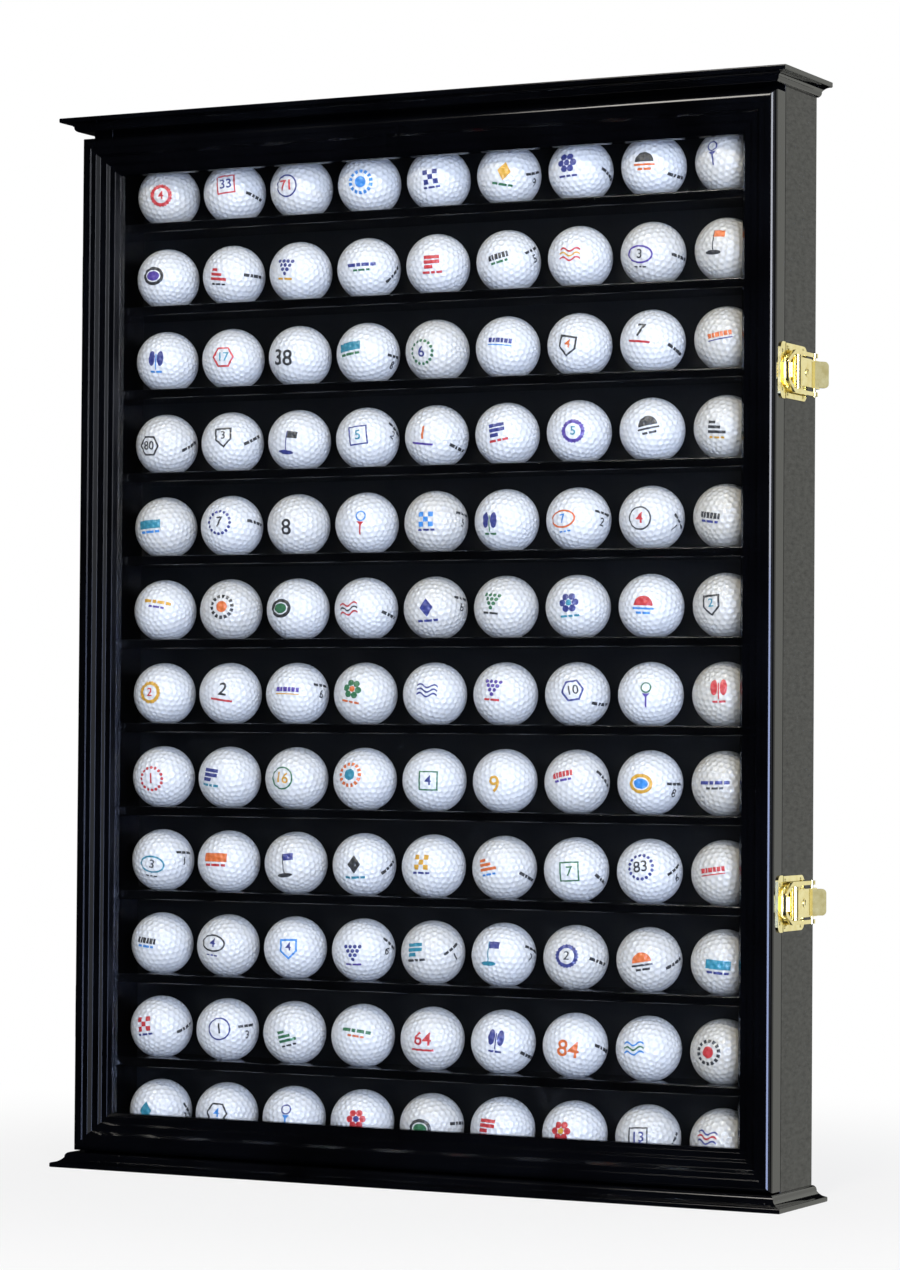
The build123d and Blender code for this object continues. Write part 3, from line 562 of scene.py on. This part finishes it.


# how far each ball's cover goes towards the greyer, warmer tone: the last column is given painted shade
# from the door's right stile, and few of the others are yellowed with age
ageingAndShade = {"shadedLastColumn": (0.5, 0.8), "others": 0.5, "rarity": 4}
randomBall = random.Random(ball["seed"])
randomMark = random.Random(printing["seed"])
mainKinds = randomMark.sample(list(mainMarks), len(mainMarks))
for row in range(1, ball["rows"] + 1):
    nodeName = "ball_row_%02d" % row
    low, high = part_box(nodeName)
    rowPoints, rowTriangles, rowTones = [], [], []
    for column in range(ball["columns"]):
        across = (column - (ball["columns"] - 1) / 2) * ball["columnPitchMm"] * mm
        middle = Vector((across, (low.y + high.y) / 2, (low.z + high.z) / 2))
        turns = [randomBall.uniform(0, 2 * math.pi) for axis in "XYZ"]
        spinX, spinY, spinZ = (Matrix.Rotation(angle, 3, axis) for angle, axis in zip(turns, "XYZ"))
        spin = spinX @ spinY @ spinZ
        rowPoints.append(ballPoints @ np.array(spin).T * mm + np.array(middle))
        rowTriangles.append(ballTriangles + column * len(ballPoints))
        # painted shade: the last column's balls are made greyer and warmer, as if shaded by the door's
        # right stile
        if column == ball["columns"] - 1:
            ageAndShade = randomBall.uniform(*ageingAndShade["shadedLastColumn"])
        else:
            ageAndShade = randomBall.uniform(0.0, 1.0) ** ageingAndShade["rarity"] * ageingAndShade["others"]
        rowTones.append(np.full(len(ballPoints), ageAndShade, np.float32))
        oneDigit = randomMark.random() < printing["oneDigit"]
        number = randomMark.randint(1, 9) if oneDigit else randomMark.randint(10, 99)
        pair = randomMark.choices(inkOrder, inkShares, k=2)
        turn = randomMark.uniform(-1, 1) * printing["frontTurn"] + printing["frontAside"]
        rise = randomMark.uniform(printing["frontLow"], 1) * printing["frontRise"]
        kind = mainKinds.pop()
        mainKinds = mainKinds or randomMark.sample(list(mainMarks), len(mainMarks))
        roll = randomMark.gauss(0, printing["frontRoll"])
        layMark(middle, spin, turn, rise, roll, flatMark(mainMarks, kind, number), pair)
        if randomMark.random() < printing["secondMark"]:
            side = flatMark(sideMarks, randomMark.choice(list(sideMarks)), randomMark.randint(1, 9))
            turn = randomMark.uniform(*printing["sideTurn"])
            rise = randomMark.uniform(*printing["sideRise"])
            layMark(middle, spin, turn, rise, randomMark.gauss(0, printing["sideRoll"]), side, ["black"])
    points, triangles = np.concatenate(rowPoints), np.concatenate(rowTriangles)
    mesh = bpy.data.meshes.new("golf_balls_%02d" % row)
    mesh.from_pydata(points.tolist(), [], triangles.tolist())
    mesh.polygons.foreach_set("use_smooth", np.ones(len(triangles), bool))
    mesh.attributes.new("coverTone", "FLOAT", "POINT").data.foreach_set("value", np.concatenate(rowTones))
    mesh.materials.append(ballCover)
    rowOfBalls = addObject("golf_balls_%02d" % row, mesh)
    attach(rowOfBalls, "case")
    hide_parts(nodeName)

mesh = bpy.data.meshes.new("ball_prints")
mesh.from_pydata([tuple(p) for p in printPoints], [], printFaces)
for ink in inkMaterials:
    mesh.materials.append(ink)
mesh.polygons.foreach_set("material_index", printInks)
mesh.polygons.foreach_set("use_smooth", [True] * len(printFaces))
ballPrints = addObject("ball_prints", mesh)
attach(ballPrints, "case")
print("balls placed and printed,", len(printFaces), "print faces")

# Painted concrete, matt and pale. The eye sees it white further out, where it meets the backdrop.
floorLook = {
    "colour": "ececea", "worn": "e2e2df", "wear": 0.25, "ior": 1.45, "rough": 0.6, "grainMm": 9.0,
    "nearM": 0.15, "farM": 0.8, "glow": 0.82, "reachM": 30.0,
}
floorPaint, tree, shader = newMaterial("concretePaintedPale", {
    "Roughness": floorLook["rough"], "IOR": floorLook["ior"],
})
worn = pattern(tree, floorLook["grainMm"], (0, floorLook["wear"]), detail=4.0)
colourBetween(tree, shader, worn, floorLook["colour"], floorLook["worn"])
place = addNode(tree, "ShaderNodeTexCoord").outputs["Object"]
away = addNode(tree, "ShaderNodeVectorMath", {"operation": "LENGTH", 0: place}).outputs["Value"]
backdropShare = addNode(tree, "ShaderNodeMapRange", {
    "interpolation_type": "SMOOTHSTEP", "From Min": floorLook["nearM"], "From Max": floorLook["farM"],
    "To Min": floorLook["glow"], "To Max": 1.0, "Value": away,
})
path = addNode(tree, "ShaderNodeLightPath")
seen = seenByEye(tree, path)
shownWhite = addNode(tree, "ShaderNodeMath", {"operation": "MULTIPLY", 0: backdropShare, 1: seen})
white = addNode(tree, "ShaderNodeEmission", {"Color": (1, 1, 1, 1), "Strength": 1.0})
blended = addNode(tree, "ShaderNodeMixShader", {0: shownWhite, 1: shader, 2: white})
# mirrors look straight through the floor, as if the room and its window went on below
seeThrough = addNode(tree, "ShaderNodeBsdfTransparent")
mirrorRays = addNode(tree, "ShaderNodeMath", {
    "operation": "SUBTRACT", "use_clamp": True, 0: path.outputs["Is Glossy Ray"], 1: seen,
})
surface = addNode(tree, "ShaderNodeMixShader", {0: mirrorRays, 1: blended, 2: seeThrough})
tree.links.new(surface.outputs[0], tree.nodes["Material Output"].inputs["Surface"])
mesh = bpy.data.meshes.new("floor")
reach = floorLook["reachM"]
corners = [(-reach, -reach, 0), (reach, -reach, 0), (reach, reach, 0), (-reach, reach, 0)]
mesh.from_pydata(corners, [], [(0, 1, 2, 3)])
mesh.materials.append(floorPaint)
floor = addObject("floor", mesh)
print("floor laid")

# What the room shows in a mirror, by degrees round from straight ahead towards the right: a cool
# curtain stands on the right and a pale wall behind on the right, which the side board and the brass
# pick up. The rest is dark, so the door stays black and its panel clear.
room = (
    (62, "121212"), (66, "d2d6de"), (80, "d2d6de"), (84, "272727"), (103, "272727"),
    (110, "f0f1e8"), (179, "f0f1e8"),
)


def roomColour(tree, vector):
    parts = addNode(tree, "ShaderNodeSeparateXYZ", {0: vector}).outputs
    ahead = addNode(tree, "ShaderNodeMath", {"operation": "MULTIPLY", 0: parts[1], 1: -1.0})
    turn = addNode(tree, "ShaderNodeMath", {"operation": "ARCTAN2", 0: parts[0], 1: ahead})
    share = addNode(tree, "ShaderNodeMath", {"operation": "DIVIDE", 0: turn, 1: math.pi})
    ramp = addNode(tree, "ShaderNodeValToRGB", {0: share})
    stops = ramp.color_ramp.elements
    while len(stops) < len(room):
        stops.new(1.0)
    for stop, (degrees, colour) in zip(stops, room):
        stop.position = math.radians(degrees) / math.pi
        stop.color = linear(colour)
    return ramp


# aimUpM is how far above the floor the lamps aim, just above the case's middle
studio = {"fill": 0.2, "fillColour": "dce4ff", "aimUpM": 0.4}
world = bpy.data.worlds.new("studio")
bpy.context.scene.world = world
world.use_nodes = True
tree = world.node_tree
tree.nodes.clear()
path = addNode(tree, "ShaderNodeLightPath")
direction = addNode(tree, "ShaderNodeTexCoord").outputs["Generated"]
fill = addNode(tree, "ShaderNodeBackground", {
    "Color": linear(studio["fillColour"]), "Strength": studio["fill"],
})
mirror = addNode(tree, "ShaderNodeBackground", {"Color": roomColour(tree, direction), "Strength": 1.0})
backdrop = addNode(tree, "ShaderNodeBackground", {"Color": (1, 1, 1, 1), "Strength": 1.0})
lit = addNode(tree, "ShaderNodeMixShader", {0: path.outputs["Is Glossy Ray"], 1: fill, 2: mirror})
shown = addNode(tree, "ShaderNodeMixShader", {0: seenByEye(tree, path), 1: lit, 2: backdrop})
addNode(tree, "ShaderNodeOutputWorld", {"Surface": shown})


# an area lamp at turn degrees round from straight ahead and rise degrees up, in metres and watts
def softbox(name, look):
    lamp = bpy.data.lights.new(name, "AREA")
    lamp.shape, lamp.size, lamp.size_y = "RECTANGLE", look["wide"], look["tall"]
    lamp.energy = look["watts"]
    lamp.color = linear(look["colour"])[:3]
    holder = addObject(name, lamp)
    back = towards(look["turn"], look["rise"])
    holder.location = Vector((0, 0, studio["aimUpM"])) + back * look["away"]
    holder.rotation_euler = (-back).to_track_quat("-Z", "Y").to_euler()
    holder.visible_camera = False
    return holder


# a narrow lamp high on the left, seen only in mirrors, lines the right ends of the shelves' front edges
spark = softbox("spark_softbox", {
    "turn": -22, "rise": 42, "away": 2.6, "wide": 0.4, "tall": 1.1, "watts": 18, "colour": "fffaf2",
})
spark.visible_diffuse = False
# the key stands high in front and lights the balls from above
softbox("key_softbox", {
    "turn": 16, "rise": 42, "away": 2.6, "wide": 0.4, "tall": 0.4, "watts": 23, "colour": "fff2e0",
})
# a cool window on the right, with bluer panes below that mirrors follow under the floor: they light
# the balls' lower right sides and draw the bright line down the door's rounded edge
softbox("window_softbox", {
    "turn": 40, "rise": 9.9, "away": 2.5, "wide": 1.15, "tall": 0.66, "watts": 34, "colour": "eef2ff",
})
softbox("low_panes_softbox", {
    "turn": 40, "rise": -9.0, "away": 2.5, "wide": 1.15, "tall": 1.0, "watts": 62, "colour": "bccdff",
})

# The camera stands to the right in front, a little below the case's middle, with a long lens.
view = {
    "lensMm": 113.793, "sensorMm": 36.0, "place": (1.22315, -2.36307, 0.29444),
    "turn": 27.076, "tilt": 1.4716, "roll": 0.4119, "nearM": 0.05, "farM": 200,
}
cameraData = bpy.data.cameras.new("view")
cameraData.lens, cameraData.sensor_width, cameraData.sensor_fit = view["lensMm"], view["sensorMm"], "AUTO"
cameraData.clip_start, cameraData.clip_end = view["nearM"], view["farM"]
camera = addObject("view", cameraData)
turn, tilt, roll = (math.radians(view[angle]) for angle in ("turn", "tilt", "roll"))
ahead = Vector((-math.sin(turn) * math.cos(tilt), math.cos(turn) * math.cos(tilt), math.sin(tilt)))
right = Vector((math.cos(turn), math.sin(turn), 0))
up = right.cross(ahead)
right, up = right * math.cos(roll) + up * math.sin(roll), up * math.cos(roll) - right * math.sin(roll)
camera.matrix_world = Matrix.Translation(view["place"]) @ Matrix((right, up, -ahead)).transposed().to_4x4()
bpy.context.scene.camera = camera
bpy.context.scene.view_settings.view_transform = "Standard"
print("stage lit")
